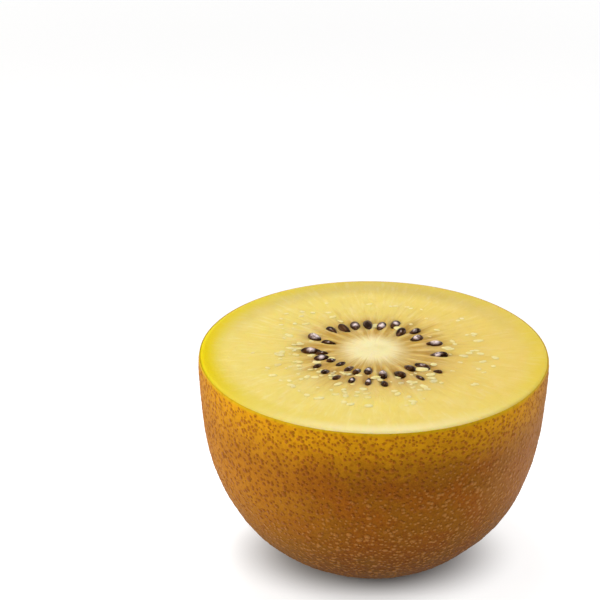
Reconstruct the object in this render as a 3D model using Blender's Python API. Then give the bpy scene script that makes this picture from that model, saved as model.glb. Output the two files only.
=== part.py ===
"""Half a golden kiwi fruit, cut across the middle, resting on its stem end with the cut face up.

Run it with: blender --background --python part.py
Units are metres and +Z is up. The origin is the middle of the small flat spot that the half rests on.
The fruit is one solid. Its seeds stand out of the cut face and are fused to the flesh that they grew in.
"""

import math
import random

import bmesh
import bpy

MM = 0.001

# The whole half.
CUT_RADIUS = 26.0 * MM
HEIGHT = 34.5 * MM
DEPTH_OVER_WIDTH = 0.965
END_DEPTH = 34.9 * MM
SIDE_POWER = 2.8
END_POWER = 2.2
RIM_ROUNDING = 0.5 * MM
SKIN_THICKNESS = 0.4 * MM
LUMP_HEIGHT = 0.12 * MM

# The stem scar, a shallow dimple with a corky stub, in the middle of the flat spot.
SCAR_RADIUS = 2.8 * MM
SCAR_FLOOR_RADIUS = 2.0 * MM
SCAR_DEPTH = 0.7 * MM
STUB_RADIUS = 1.2 * MM
STUB_HEIGHT = 0.4 * MM

# The cut face: a pale core, and thin walls between the locules that hold the seeds.
LOCULES = 24
CORE_RADIUS = 5.0 * MM
CORE_RISE = 0.25 * MM
WALL_START = 5.0 * MM
WALL_END = 13.0 * MM
WALL_RISE = 0.10 * MM

# A seed, and how far it may turn from pointing at the core.
SEED_LENGTH = 2.6 * MM
SEED_WIDTH = 1.3 * MM
SEED_THICKNESS = 1.1 * MM
SEED_TAPER = 0.45
SEED_PROUD = 0.35 * MM
SEED_TURN = math.radians(9.0)
RANDOM_SEED = 8

# Where the seeds lie, judged by eye: degrees round the core from +X, millimetres from its middle, and size.
SEED_RING = (
    (131, 9.3, 0.90), (119, 8.3, 0.95), (106, 8.8, 1.00), (93, 8.9, 1.00), (80, 8.4, 0.95),
    (68, 9.8, 0.95), (55, 7.5, 0.95), (45, 9.2, 0.90), (31, 7.7, 0.95), (14, 9.6, 1.05),
    (-10, 9.6, 1.10), (-37, 8.7, 0.95), (-49, 7.7, 0.95), (-66, 8.5, 0.95), (-82, 7.9, 1.00),
    (-98, 6.9, 0.85), (-110, 7.4, 0.85), (-121, 7.2, 0.80), (-137, 6.8, 0.70), (-151, 7.1, 0.70),
    (-162, 8.2, 0.90), (-173, 7.7, 0.70), (177, 9.7, 1.10), (159, 7.1, 0.85), (153, 9.6, 1.05),
)
OUTER_SEEDS = (
    (-38, 11.5, 0.55), (-55, 11.2, 0.65), (-84, 10.9, 0.75), (-96, 10.5, 0.75),
    (-109, 10.5, 0.70), (-122, 10.5, 0.70), (-135, 10.1, 0.75), (-148, 9.9, 0.60),
)

# How finely the surface is divided. Three columns of faces span each locule.
COLUMNS = 3 * LOCULES
SIDE_RINGS = 18
ROUNDING_STEPS = 3
FLESH_RINGS = 4
LOCULE_RINGS = 7
CORE_RINGS = 3
SEED_SEGMENTS = 8
SEED_RINGS = 6
MERGE_DISTANCE = 0.002 * MM

SKIN_COLOUR = (0.33, 0.17, 0.035, 1.0)
FLESH_COLOUR = (0.86, 0.68, 0.16, 1.0)
CORE_COLOUR = (0.93, 0.83, 0.42, 1.0)
SEED_COLOUR = (0.030, 0.014, 0.012, 1.0)


def clear_scene():
    for obj in list(bpy.data.objects):
        bpy.data.objects.remove(obj)


def material(name, colour, roughness):
    made = bpy.data.materials.new(name)
    made.use_nodes = True
    shader = made.node_tree.nodes["Principled BSDF"]
    shader.inputs["Base Color"].default_value = colour
    shader.inputs["Roughness"].default_value = roughness
    shader.inputs["Metallic"].default_value = 0.0
    made.diffuse_color = colour
    return made


def side_radius(depth):
    """The skin's radius at this depth below the cut, from a superellipse with a full side and a blunt end."""
    share = depth / END_DEPTH
    return CUT_RADIUS * (1 - share**SIDE_POWER) ** (1 / END_POWER)


def scar_profile():
    """Points (radius, height) from the middle of the stub, over the scar's floor, to the dimple's edge."""
    return [
        (0.0, SCAR_DEPTH - STUB_HEIGHT),
        (0.7 * STUB_RADIUS, SCAR_DEPTH - STUB_HEIGHT),
        (STUB_RADIUS, SCAR_DEPTH - 0.6 * STUB_HEIGHT),
        (1.1 * STUB_RADIUS, SCAR_DEPTH),
        (SCAR_FLOOR_RADIUS, 0.8 * SCAR_DEPTH),
        (SCAR_RADIUS, 0.0),
    ]


def side_profile():
    """Points (radius, height) up the skin, from the flat spot's edge to where the rim's rounding starts."""
    points = []
    for i in range(SIDE_RINGS + 1):
        share = math.sin(0.5 * math.pi * i / SIDE_RINGS)
        depth = RIM_ROUNDING + (HEIGHT - RIM_ROUNDING) * share
        points.append((side_radius(depth), HEIGHT - depth))
    return points[::-1]


def rounding_profile():
    """Points (radius, height) round the rim's edge, a quarter of a circle from the skin to the cut face."""
    edge = side_radius(RIM_ROUNDING)
    points = []
    for i in range(1, ROUNDING_STEPS + 1):
        turn = 0.5 * math.pi * i / ROUNDING_STEPS
        inward = RIM_ROUNDING * (1 - math.cos(turn))
        upward = RIM_ROUNDING * math.sin(turn)
        points.append((edge - inward, HEIGHT - RIM_ROUNDING + upward))
    return points


def evenly(start, end, steps):
    """The values from start to end in equal steps, without start."""
    return [start + (end - start) * i / steps for i in range(1, steps + 1)]


def face_profile():
    """Points (radius, height) over the flat cut face, from the rim to the middle of the core."""
    radii = evenly(side_radius(RIM_ROUNDING) - RIM_ROUNDING, WALL_END, FLESH_RINGS)
    radii += evenly(WALL_END, CORE_RADIUS, LOCULE_RINGS)
    radii += evenly(CORE_RADIUS, 0.0, CORE_RINGS)
    return [(radius, HEIGHT) for radius in radii]


def core_rise(radius):
    """The firm core stands a little proud of the flesh after the cut."""
    if radius >= CORE_RADIUS:
        return 0.0
    return CORE_RISE * (1 - (radius / CORE_RADIUS) ** 2)


def wall_rise(radius, angle):
    """The walls between the locules are low ridges, and the locules low valleys, fading at both ends."""
    if not WALL_START < radius < WALL_END:
        return 0.0
    along = (radius - WALL_START) / (WALL_END - WALL_START)
    return WALL_RISE * math.sin(math.pi * along) * math.cos(LOCULES * angle)


def lump(angle, height):
    """A gentle unevenness of the skin, nothing at the flat spot and at the cut."""
    fade = math.sin(math.pi * height / HEIGHT)
    around = math.sin(2 * angle + 0.6) + 0.6 * math.sin(3 * angle + 140 * height)
    return LUMP_HEIGHT * fade * around


def spun_body(profile):
    """The closed surface that the profile sweeps when it is spun once round Z."""
    mesh = bmesh.new()
    points = [mesh.verts.new((radius, 0.0, height)) for radius, height in profile]
    edges = [mesh.edges.new(pair) for pair in zip(points, points[1:])]
    bmesh.ops.spin(
        mesh,
        geom=points + edges,
        cent=(0.0, 0.0, 0.0),
        axis=(0.0, 0.0, 1.0),
        dvec=(0.0, 0.0, 0.0),
        angle=2 * math.pi,
        steps=COLUMNS,
        use_merge=True,
    )
    bmesh.ops.remove_doubles(mesh, verts=mesh.verts, dist=MERGE_DISTANCE)
    bmesh.ops.recalc_face_normals(mesh, faces=mesh.faces)
    return mesh


def shape_like_fruit(mesh):
    """Raises the core and the locule walls, makes the skin a little uneven, and flattens the fruit along Y."""
    face_level = HEIGHT - MERGE_DISTANCE
    for vert in mesh.verts:
        radius = math.hypot(vert.co.x, vert.co.y)
        angle = math.atan2(vert.co.y, vert.co.x)
        if vert.co.z > face_level:
            vert.co.z += core_rise(radius) + wall_rise(radius, angle)
        elif vert.co.z > MERGE_DISTANCE and radius > SCAR_RADIUS:
            grown = 1 + lump(angle, vert.co.z) / radius
            vert.co.x *= grown
            vert.co.y *= grown
        vert.co.y *= DEPTH_OVER_WIDTH


def material_index_at(centre):
    """0 for skin, 1 for flesh and 2 for core, by where a face of the body lies."""
    radius = math.hypot(centre.x, centre.y / DEPTH_OVER_WIDTH)
    in_cut = centre.z > HEIGHT - RIM_ROUNDING and radius < CUT_RADIUS - SKIN_THICKNESS
    if not in_cut:
        return 0
    return 2 if radius < CORE_RADIUS else 1


def fruit_body():
    """The fruit without its seeds: skin, cut face, core and stem scar in one closed mesh."""
    profile = scar_profile() + side_profile() + rounding_profile() + face_profile()
    mesh = spun_body(profile)
    shape_like_fruit(mesh)
    for face in mesh.faces:
        face.material_index = material_index_at(face.calc_center_median())
    data = bpy.data.meshes.new("kiwi_half")
    mesh.to_mesh(data)
    mesh.free()
    data.materials.append(material("skin", SKIN_COLOUR, 0.62))
    data.materials.append(material("flesh", FLESH_COLOUR, 0.30))
    data.materials.append(material("core", CORE_COLOUR, 0.35))
    body = bpy.data.objects.new("kiwi_half", data)
    bpy.context.scene.collection.objects.link(body)
    return body


def seed_mesh():
    """One seed, a flattened drop whose narrow end points along -X, towards the core."""
    mesh = bmesh.new()
    bmesh.ops.create_uvsphere(
        mesh, u_segments=SEED_SEGMENTS, v_segments=SEED_RINGS, radius=1.0
    )
    for vert in mesh.verts:
        narrow = 1 - SEED_TAPER * 0.5 * (1 - vert.co.x)
        vert.co.x *= 0.5 * SEED_LENGTH
        vert.co.y *= 0.5 * SEED_WIDTH * narrow
        vert.co.z *= 0.5 * SEED_THICKNESS * narrow
    data = bpy.data.meshes.new("seed")
    mesh.to_mesh(data)
    mesh.free()
    data.materials.append(material("seed", SEED_COLOUR, 0.25))
    return data


def seeds_in(collection):
    """Places every seed in the collection, pointing at the core, with most of it sunk in the flesh."""
    data = seed_mesh()
    chance = random.Random(RANDOM_SEED)
    for number, (degrees, out, scale) in enumerate(SEED_RING + OUTER_SEEDS, start=1):
        angle = math.radians(degrees)
        seed = bpy.data.objects.new(f"seed_{number:02d}", data)
        seed.location = (
            out * MM * math.cos(angle),
            out * MM * math.sin(angle) * DEPTH_OVER_WIDTH,
            HEIGHT + (SEED_PROUD - 0.5 * SEED_THICKNESS) * scale,
        )
        seed.rotation_euler = (0.0, 0.0, angle + chance.uniform(-1, 1) * SEED_TURN)
        seed.scale = (scale, scale, scale)
        collection.objects.link(seed)


def fuse(body, collection):
    """Joins everything in the collection to the body, and removes the collection."""
    union = body.modifiers.new("seeds", "BOOLEAN")
    union.operation = "UNION"
    union.solver = "EXACT"
    union.operand_type = "COLLECTION"
    union.collection = collection
    union.material_mode = "TRANSFER"
    bpy.context.view_layer.objects.active = body
    bpy.ops.object.modifier_apply(modifier=union.name)
    for obj in list(collection.objects):
        bpy.data.objects.remove(obj)
    bpy.data.collections.remove(collection)


def main():
    clear_scene()
    body = fruit_body()
    seeds = bpy.data.collections.new("seeds")
    bpy.context.scene.collection.children.link(seeds)
    seeds_in(seeds)
    fuse(body, seeds)
    body.data.shade_smooth()
    body.data.set_sharp_from_angle(angle=math.radians(40.0))


main()
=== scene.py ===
"""The looks of half a golden kiwi fruit, from its skin to the juice on its cut, on a pale stage.

Sizes are in metres and +Z is up. The origin is the middle of the flat spot that the half rests on.
"""

import math
import random

import bpy
import numpy as np
from bpy.props import FloatProperty, FloatVectorProperty, IntProperty, PointerProperty
from mathutils import Matrix, Vector, noise


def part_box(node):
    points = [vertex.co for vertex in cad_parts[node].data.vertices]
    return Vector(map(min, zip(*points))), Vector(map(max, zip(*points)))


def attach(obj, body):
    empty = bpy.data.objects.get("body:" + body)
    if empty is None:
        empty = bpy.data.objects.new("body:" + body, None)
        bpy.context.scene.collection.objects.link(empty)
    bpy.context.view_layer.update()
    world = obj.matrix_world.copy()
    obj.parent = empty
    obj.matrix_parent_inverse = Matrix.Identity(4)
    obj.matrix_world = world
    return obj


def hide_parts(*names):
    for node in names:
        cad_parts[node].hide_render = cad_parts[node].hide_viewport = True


bl_info = {
    "name": "Golden Kiwi Half",
    "version": (1, 0, 0),
    "blender": (4, 5, 0),
    "location": "3D Viewport > Sidebar > Kiwi",
    "description": "Models the skin, flesh, seeds and stage of half a golden kiwi fruit",
    "category": "Add Mesh",
}

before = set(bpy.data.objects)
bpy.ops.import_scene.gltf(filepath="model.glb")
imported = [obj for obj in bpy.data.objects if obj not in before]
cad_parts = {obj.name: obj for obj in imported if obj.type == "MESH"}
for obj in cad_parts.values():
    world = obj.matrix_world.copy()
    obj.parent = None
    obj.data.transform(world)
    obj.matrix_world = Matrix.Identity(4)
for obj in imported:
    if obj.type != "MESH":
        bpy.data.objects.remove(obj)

NODE = "kiwi_half"
BODY = "root"
MM = 0.001
MERGE_DISTANCE = 0.002 * MM

LOWEST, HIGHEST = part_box(NODE)
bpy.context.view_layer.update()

# A piece is spun in this many columns, and its faces are then halved this many times.
COLUMNS = 120
SUBDIVISIONS = 2


class KIWI_PG_fruit(bpy.types.PropertyGroup):
    """The shape that all the pieces share."""

    cut_radius: FloatProperty(
        name="Cut radius", description="Half of the cut face's wider way",
        default=0.5 * (HIGHEST.x - LOWEST.x), unit="LENGTH",
    )
    depth_share: FloatProperty(
        name="Depth share", description="The cut face's narrower way over its wider way",
        default=(HIGHEST.y - LOWEST.y) / (HIGHEST.x - LOWEST.x), subtype="FACTOR", min=0.5, max=1.0,
    )
    height: FloatProperty(
        name="Height", description="From the flat spot to the cut face, without the seeds",
        default=34.5 * MM, unit="LENGTH",
    )
    end_depth: FloatProperty(
        name="End depth",
        description="Depth below the cut at which the rounded end would come to a point",
        default=34.9 * MM, unit="LENGTH",
    )
    side_power: FloatProperty(
        name="Side power", description="How long the side stays upright before it turns in",
        default=2.8,
    )
    end_power: FloatProperty(
        name="End power", description="How blunt the rounded end is", default=2.2,
    )
    skin_thickness: FloatProperty(
        name="Skin thickness", description="Thickness of the skin, seen as a line round the cut",
        default=0.30 * MM, unit="LENGTH",
    )
    rim_rounding: FloatProperty(
        name="Rim rounding",
        description="How far in from the skin the flesh starts to turn down to it",
        default=0.75 * MM, unit="LENGTH",
    )
    rim_drop: FloatProperty(
        name="Rim drop", description="How far down the flesh turns before the skin hides it",
        default=0.30 * MM, unit="LENGTH",
    )
    rim_turn: FloatProperty(
        name="Rim turn", description="How steeply the flesh meets the skin",
        default=math.radians(62.0), subtype="ANGLE",
    )
    scar_radius: FloatProperty(
        name="Scar radius", description="Radius of the dimple at the stem end", default=2.8 * MM,
        unit="LENGTH",
    )
    scar_depth: FloatProperty(
        name="Scar depth", description="Depth of the dimple at the stem end", default=0.7 * MM,
        unit="LENGTH",
    )


class KIWI_PG_skin(bpy.types.PropertyGroup):
    """The skin and the corky dots on it."""

    brown: FloatVectorProperty(
        name="Brown", description="The skin's colour over most of the fruit", subtype="COLOR",
        default=(0.29, 0.083, 0.003), min=0.0, max=1.0,
    )
    olive: FloatVectorProperty(
        name="Olive", description="The colour that the skin turns to in patches", subtype="COLOR",
        default=(0.28, 0.098, 0.003), min=0.0, max=1.0,
    )
    # Painted light: the lighter tan that the skin is painted on the left, where the light falls.
    left_painted_light: FloatVectorProperty(
        name="Left tan", description="The lighter colour that the skin turns to on the left",
        subtype="COLOR", default=(0.47, 0.188, 0.010), min=0.0, max=1.0,
    )
    # Painted sheen and light: the greyer, paler colour that the skin is painted on the right.
    right_painted_sheen: FloatVectorProperty(
        name="Right tan", description="The greyer colour that the skin turns to on the right",
        subtype="COLOR", default=(0.38, 0.17, 0.060), min=0.0, max=1.0,
    )
    # Painted glow: the gold stands for light shining out through the skin from the cut flesh.
    painted_gold_glow: FloatVectorProperty(
        name="Gold",
        description="The skin's colour next to the cut, where the flesh shows through it",
        subtype="COLOR", default=(0.72, 0.335, 0.003), min=0.0, max=1.0,
    )
    painted_gold_glow_depth: FloatProperty(
        name="Gold depth", description="How far below the cut the gold reaches", default=9.0 * MM,
        unit="LENGTH",
    )
    dot_tan_and_highlight: FloatVectorProperty(
        name="Dot tan", description="Colour of the corky dots on the brown skin", subtype="COLOR",
        default=(0.43, 0.18, 0.036), min=0.0, max=1.0,
    )
    dot_red: FloatVectorProperty(
        name="Dot red", description="Colour of the duller corky dots among them", subtype="COLOR",
        default=(0.24, 0.062, 0.006), min=0.0, max=1.0,
    )
    dot_dark: FloatVectorProperty(
        name="Dot dark", description="Colour of the corky dots against the gold next to the cut",
        subtype="COLOR", default=(0.32, 0.078, 0.004), min=0.0, max=1.0,
    )
    dot_count: IntProperty(
        name="Dots", description="How many corky dots the skin has", default=7800,
    )
    dot_size: FloatProperty(
        name="Dot size", description="Usual width of a corky dot", default=0.42 * MM, unit="LENGTH",
    )
    dot_rise: FloatProperty(
        name="Dot rise", description="How far a corky dot stands out of the skin",
        default=0.085 * MM, unit="LENGTH",
    )


class KIWI_PG_flesh(bpy.types.PropertyGroup):
    """The cut face: core, seed chambers, flesh and the beads of juice on it."""

    core_radius: FloatProperty(
        name="Core radius", description="Radius of the pale core", default=5.0 * MM, unit="LENGTH",
    )
    core_rise: FloatProperty(
        name="Core rise", description="How far the core stands out of the cut", default=0.25 * MM,
        unit="LENGTH",
    )
    wall_end: FloatProperty(
        name="Wall end", description="Radius at which the walls between the seed chambers end",
        default=13.0 * MM, unit="LENGTH",
    )
    wall_rise: FloatProperty(
        name="Wall rise", description="How far the walls between the seed chambers stand out",
        default=0.10 * MM, unit="LENGTH",
    )
    core_colour: FloatVectorProperty(
        name="Core", description="Colour of the core", subtype="COLOR", default=(0.94, 0.81, 0.42),
        min=0.0, max=1.0,
    )
    chamber_colour: FloatVectorProperty(
        name="Seed chambers", description="Colour of the wetter flesh round the seeds",
        subtype="COLOR", default=(0.55, 0.325, 0.062), min=0.0, max=1.0,
    )
    flesh_colour: FloatVectorProperty(
        name="Flesh", description="Colour of most of the cut face", subtype="COLOR",
        default=(0.845, 0.665, 0.165), min=0.0, max=1.0,
    )
    rim_colour: FloatVectorProperty(
        name="Rim", description="Colour of the flesh next to the skin", subtype="COLOR",
        default=(0.75, 0.57, 0.002), min=0.0, max=1.0,
    )
    bead_count: IntProperty(
        name="Juice beads", description="How many beads of juice lie on the cut", default=165,
    )
    # Partly the juice's colour and partly painted glints: the pale cream of the beads.
    bead_colour_and_glint: FloatVectorProperty(
        name="Juice beads", description="Colour of the beads of juice", subtype="COLOR",
        default=(1.0, 0.83, 0.38), min=0.0, max=1.0,
    )


class KIWI_PG_seeds(bpy.types.PropertyGroup):
    """The seeds and the chambers that they lie in."""

    chambers: IntProperty(
        name="Chambers", description="How many seed chambers the fruit has", default=24,
    )
    length: FloatProperty(
        name="Length", description="Length of a seed", default=2.6 * MM, unit="LENGTH",
    )
    width: FloatProperty(
        name="Width", description="Width of a seed at its wide end", default=1.3 * MM,
        unit="LENGTH",
    )
    thickness: FloatProperty(
        name="Thickness", description="Thickness of a seed", default=1.1 * MM, unit="LENGTH",
    )
    proud: FloatProperty(
        name="Proud", description="How far a seed of full size stands out of the cut",
        default=0.35 * MM, unit="LENGTH",
    )
    turn: FloatProperty(
        name="Turn", description="How far a seed may turn from pointing at the core",
        default=math.radians(9.0), subtype="ANGLE",
    )
    tilt: FloatProperty(
        name="Tilt", description="How far a seed may lean and roll", default=math.radians(14.0),
        subtype="ANGLE",
    )
    random_seed: IntProperty(
        name="Random seed", description="Number that starts the random draws", default=8,
    )
    # Partly a wet film and partly a painted highlight: the pale patch on the side of some seeds that
    # faces the front.
    film_and_highlight: FloatVectorProperty(
        name="Film", description="Colour of the wet film that clings to some of the seeds",
        subtype="COLOR", default=(1.0, 0.82, 0.80), min=0.0, max=1.0,
    )
    colour: FloatVectorProperty(
        name="Seed coat", description="Colour of the seeds", subtype="COLOR",
        default=(0.014, 0.004, 0.0005), min=0.0, max=1.0,
    )


class KIWI_PG_stage(bpy.types.PropertyGroup):
    """The floor, the lights and the camera."""

    camera_elevation: FloatProperty(
        name="Camera elevation", description="How steeply the camera looks down",
        default=math.radians(25.26), subtype="ANGLE",
    )
    camera_distance: FloatProperty(
        name="Camera distance",
        description="From the camera to the middle of the cut face, along the view",
        default=261.0 * MM, unit="LENGTH",
    )
    camera_left: FloatProperty(
        name="Camera left", description="How far the camera stands to the left of the fruit",
        default=10.93 * MM, unit="LENGTH",
    )
    camera_above: FloatProperty(
        name="Camera above", description="How far the camera is above the line to the cut face",
        default=7.45 * MM, unit="LENGTH",
    )
    lens: FloatProperty(
        name="Lens", description="Focal length of the camera, in millimetres", default=105.1,
    )
    floor_colour: FloatVectorProperty(
        name="Floor", description="Colour of the floor", subtype="COLOR",
        default=(0.50, 0.50, 0.50), min=0.0, max=1.0,
    )
    # Painted light: the floor's glow, whose gap round the fruit is a painted contact shadow.
    floor_glow: FloatProperty(
        name="Floor glow", description="How brightly the floor is lit from below", default=0.80,
    )


# Shaping helpers.


def deselect_all():
    if bpy.context.mode != "OBJECT":
        bpy.ops.object.mode_set(mode="OBJECT")
    bpy.ops.object.select_all(action="DESELECT")


def settle(obj):
    """Moves the object's place, turn and scale into its mesh, so that the object sits at the origin."""
    deselect_all()
    obj.select_set(True)
    bpy.context.view_layer.objects.active = obj
    bpy.ops.object.transform_apply(location=True, rotation=True, scale=True)
    return obj


def apply_modifier(obj, modifier):
    bpy.context.view_layer.objects.active = obj
    bpy.ops.object.modifier_apply(modifier=modifier.name)


def subdivide(obj, times):
    modifier = obj.modifiers.new("subdivide", "SUBSURF")
    modifier.levels = times
    modifier.render_levels = times
    apply_modifier(obj, modifier)


def displace(obj, grain, amount, weights):
    """Pushes the surface in and out by a cloudy grain, as far as each vertex's weight says."""
    group = obj.vertex_groups.new(name="displaced")
    for index, weight in enumerate(weights):
        if weight > 0:
            group.add([index], weight, "REPLACE")
    clouds = bpy.data.textures.new("clouds", "CLOUDS")
    clouds.noise_scale = grain
    modifier = obj.modifiers.new("displace", "DISPLACE")
    modifier.texture = clouds
    modifier.texture_coords = "LOCAL"
    modifier.strength = amount
    modifier.mid_level = 0.5
    modifier.vertex_group = group.name
    apply_modifier(obj, modifier)
    obj.vertex_groups.remove(obj.vertex_groups["displaced"])


def spin_profile(name, profile, columns, depth_share):
    """Draws (radius, height) points, the first and last on the axis, as an edge, and spins it round Z."""
    deselect_all()
    radius, height = profile[0]
    bpy.ops.mesh.primitive_plane_add(size=MM, location=(radius, 0.0, height))
    obj = bpy.context.object
    obj.name = name
    bpy.ops.object.mode_set(mode="EDIT")
    bpy.ops.mesh.select_all(action="SELECT")
    bpy.ops.mesh.merge(type="CENTER")
    for here, there in zip(profile, profile[1:]):
        step = (there[0] - here[0], 0.0, there[1] - here[1])
        bpy.ops.mesh.extrude_region_move(TRANSFORM_OT_translate={"value": step})
    bpy.ops.mesh.select_all(action="SELECT")
    bpy.ops.mesh.spin(steps=columns, angle=2 * math.pi, center=(0.0, 0.0, 0.0), axis=(0.0, 0.0, 1.0))
    bpy.ops.mesh.select_all(action="SELECT")
    bpy.ops.mesh.remove_doubles(threshold=MERGE_DISTANCE)
    bpy.ops.mesh.normals_make_consistent(inside=False)
    bpy.ops.transform.resize(value=(1.0, depth_share, 1.0), center_override=(0.0, 0.0, 0.0))
    return settle(obj)


def copies_of(model, name, places):
    """One piece that holds a copy of the model at each place, a matrix. The model is removed."""
    points = np.array([vert.co for vert in model.data.vertices])
    faces = [tuple(face.vertices) for face in model.data.polygons]
    all_points, all_faces = [], []
    for number, place in enumerate(places):
        matrix = np.array(place)
        all_points.append(points @ matrix[:3, :3].T + matrix[:3, 3])
        first = number * len(points)
        all_faces += [tuple(first + index for index in face) for face in faces]
    bpy.data.objects.remove(model)
    data = bpy.data.meshes.new(name)
    data.from_pydata(np.concatenate(all_points).tolist(), [], all_faces)
    data.shade_smooth()
    piece = bpy.data.objects.new(name, data)
    bpy.context.scene.collection.objects.link(piece)
    return piece


def paint(piece, name, values):
    """Stores a number from 0 to 1 at each vertex, which the piece's material reads by this name."""
    attribute = piece.data.attributes.new(name, "FLOAT", "POINT")
    attribute.data.foreach_set("value", np.asarray(values, dtype=np.float32))


def finish_piece(piece, material):
    """Gives the piece its material, and tells the frame what it rides on."""
    piece.data.materials.clear()
    piece.data.materials.append(material)
    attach(piece, BODY)


def smooth_step(low, high, value):
    share = min(1.0, max(0.0, (value - low) / (high - low)))
    return share * share * (3 - 2 * share)


def side_radius(fruit, depth):
    """The skin's radius at this depth below the cut face, from a superellipse with a blunt end."""
    share = min(depth / fruit.end_depth, 1.0)
    return fruit.cut_radius * (1 - share**fruit.side_power) ** (1 / fruit.end_power)


def side_points(fruit, top_depth, count, inset=0.0):
    """Points (radius, height) down the side from top_depth to the flat spot, closer together low down."""
    points = []
    for i in range(count + 1):
        depth = top_depth + (fruit.height - top_depth) * math.sin(0.5 * math.pi * i / count)
        points.append((side_radius(fruit, depth) - inset, fruit.height - depth))
    return points


def polar(fruit, point):
    """(radius, angle) of a point, with the fruit's flattening undone."""
    x, y = point.x, point.y / fruit.depth_share
    return math.hypot(x, y), math.atan2(y, x)


def on_fruit(fruit, radius, angle, height):
    """The point at this radius and angle, flattened as the fruit is."""
    return Vector((radius * math.cos(angle), radius * math.sin(angle) * fruit.depth_share, height))


# Shader helpers.


def new_material(name):
    """(material, its node tree, its shader)"""
    material = bpy.data.materials.new(name)
    material.use_nodes = True
    return material, material.node_tree, material.node_tree.nodes["Principled BSDF"]


def node(tree, kind, inputs=(), **settings):
    """Adds a node. Its inputs are pairs: a socket's name or number, and a value or a node's output."""
    made = tree.nodes.new(kind)
    for key, value in settings.items():
        setattr(made, key, value)
    for key, value in inputs:
        if isinstance(value, bpy.types.NodeSocket):
            tree.links.new(value, made.inputs[key])
        else:
            made.inputs[key].default_value = value
    return made


def object_place(tree):
    return node(tree, "ShaderNodeTexCoord").outputs["Object"]


def axes(tree, vector):
    """The vector's X, Y and Z."""
    return node(tree, "ShaderNodeSeparateXYZ", [("Vector", vector)]).outputs


def painted(tree, name):
    """The numbers that paint stored on the piece by this name."""
    return node(tree, "ShaderNodeAttribute", attribute_name=name).outputs["Fac"]


def maths(tree, operation, first, second=0.0):
    inputs = [(0, first), (1, second)]
    return node(tree, "ShaderNodeMath", inputs, operation=operation).outputs[0]


def vector_maths(tree, operation, first, second=(0.0, 0.0, 0.0)):
    inputs = [(0, first), (1, second)]
    return node(tree, "ShaderNodeVectorMath", inputs, operation=operation).outputs["Vector"]


def length_of(tree, vector):
    return node(tree, "ShaderNodeVectorMath", [(0, vector)], operation="LENGTH").outputs["Value"]


def scaled(tree, value, amount, start=0.0):
    """The value times the amount, on top of the start."""
    inputs = [(0, value), (1, amount), (2, start)]
    return node(tree, "ShaderNodeMath", inputs, operation="MULTIPLY_ADD").outputs[0]


def centred(tree, value, amount):
    """Turns a value that runs from 0 to 1 into one that runs half the amount to each side of 0."""
    return scaled(tree, value, amount, -0.5 * amount)


def share_between(tree, value, low, high):
    """0 below low, 1 above high, and smooth between."""
    inputs = [("Value", value), ("From Min", low), ("From Max", high)]
    made = node(tree, "ShaderNodeMapRange", inputs, interpolation_type="SMOOTHSTEP")
    return made.outputs["Result"]


def grain(tree, place, size, detail=3.0, roughness=0.55):
    """Cloudy noise from about 0.25 to 0.75, whose spots are this size."""
    inputs = [("Vector", place), ("Scale", 1 / size), ("Detail", detail), ("Roughness", roughness)]
    return node(tree, "ShaderNodeTexNoise", inputs).outputs["Fac"]


def cells(tree, place, size):
    """Distance from the nearest of many scattered points, which lie this far apart."""
    inputs = [("Vector", place), ("Scale", 1 / size)]
    return node(tree, "ShaderNodeTexVoronoi", inputs).outputs["Distance"]


def blend_colour(tree, share, first, second, blend_type="MIX"):
    inputs = [(0, share)]
    for key, colour in ((6, first), (7, second)):
        linked = isinstance(colour, bpy.types.NodeSocket)
        inputs.append((key, colour if linked else (*colour, 1.0)))
    return node(tree, "ShaderNodeMix", inputs, data_type="RGBA", blend_type=blend_type).outputs[2]


def bump(tree, height, distance, strength=1.0, normal=None):
    inputs = [("Height", height), ("Distance", distance), ("Strength", strength)]
    if normal is not None:
        inputs.append(("Normal", normal))
    return node(tree, "ShaderNodeBump", inputs).outputs["Normal"]


def wire(tree, shader, **sockets):
    """Links outputs to the shader's sockets, named with _ for each space."""
    for name, output in sockets.items():
        tree.links.new(output, shader.inputs[name.replace("_", " ")])


# The skin.

SKIN_LIP_DEPTH = 0.22 * MM
SKIN_LIP_SLOPE = 0.08 * MM
SKIN_LUMP_SIZE = 9.0 * MM
SKIN_LUMP_RISE = 0.35 * MM
SKIN_GRAIN_SIZE = 1.0 * MM
SKIN_GRAIN_RISE = 0.07 * MM
SKIN_FLAT_MARGIN = 0.3 * MM
SKIN_FULL_RELIEF = 3.0 * MM
SIDE_RINGS = 33
INNER_RINGS = 5
SKIN_PAINTED_LOW_SHADE = (0.28, 0.28, 0.26)
SKIN_MOTTLE = (0.70, 0.60, 0.50)
SKIN_SPECK = (0.60, 0.38, 0.45)
SKIN_PALE_GRAIN = (0.52, 0.21, 0.012)
SKIN_DARK_GRAIN = (0.60, 0.48, 0.40)
SKIN_EDGE_PAINTED_GLOW = (0.62, 0.42, 0.006)


def skin_profile(fruit):
    """The skin's section: up the outside from the scar's floor, over the lip, and down the inside."""
    scar = fruit.scar_radius
    floor = fruit.scar_depth
    outside = [(0.0, floor), (0.40 * scar, floor), (0.72 * scar, 0.85 * floor)]
    outside += [(0.92 * scar, 0.25 * floor), (1.05 * scar, 0.0), (1.5 * scar, 0.0)]
    outside += side_points(fruit, SKIN_LIP_DEPTH, SIDE_RINGS)[::-1]
    lip_radius = side_radius(fruit, SKIN_LIP_DEPTH) - 0.5 * fruit.skin_thickness
    outside.append((lip_radius, fruit.height - SKIN_LIP_DEPTH + SKIN_LIP_SLOPE))
    inside = side_points(fruit, SKIN_LIP_DEPTH, INNER_RINGS, inset=fruit.skin_thickness)
    inside = [(max(radius, 0.0), max(height, fruit.skin_thickness)) for radius, height in inside]
    return outside + inside + [(scar, floor + fruit.skin_thickness), (0.0, floor + fruit.skin_thickness)]


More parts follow.
